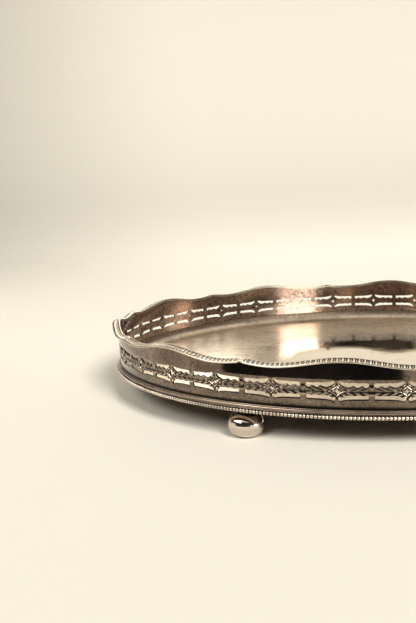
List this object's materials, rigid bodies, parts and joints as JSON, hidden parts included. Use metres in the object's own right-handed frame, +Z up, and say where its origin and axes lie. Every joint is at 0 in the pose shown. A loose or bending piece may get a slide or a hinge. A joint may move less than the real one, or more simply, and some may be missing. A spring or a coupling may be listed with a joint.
{
  "type": "gallery tray",
  "caption": "Round silver-plated serving and offering tray with an upright pierced gallery, a waved beaded rim and ball feet.",
  "frame": {"origin": "centre of the tray on the surface that the feet stand on", "axes": "+Z up; +X and +Y run midway between neighbouring feet, which stand at 45 degrees to them"},
  "size_m": [0.3048, 0.3048, 0.0422],
  "materials": {
    "plate_silver": "worn, finely scratched silver plate on brass",
    "gallery_silver": "tarnished silver plate on brass",
    "border_silver": "bright, lightly tarnished silver plate on brass",
    "base_silver": "tarnished silver plate on brass",
    "foot_silver": "polished silver plate on brass",
    "solder": "dull solder under plate"
  },
  "bodies": {
    "root": {"tray_plate": "plate_silver", "gallery_wall": "gallery_silver", "rim_border_1": "border_silver", "rim_border_2": "border_silver", "rim_border_3": "border_silver", "rim_border_4": "border_silver", "rim_border_5": "border_silver", "rim_border_6": "border_silver", "rim_border_7": "border_silver", "rim_border_8": "border_silver", "rim_border_9": "border_silver", "rim_border_10": "border_silver", "rim_joints": "border_silver", "base_moulding": "base_silver", "base_bead_wire": "base_silver", "foot_1": "foot_silver", "foot_2": "foot_silver", "foot_3": "foot_silver", "foot_4": "foot_silver", "foot_collars": "solder"}
  },
  "joints": []
}
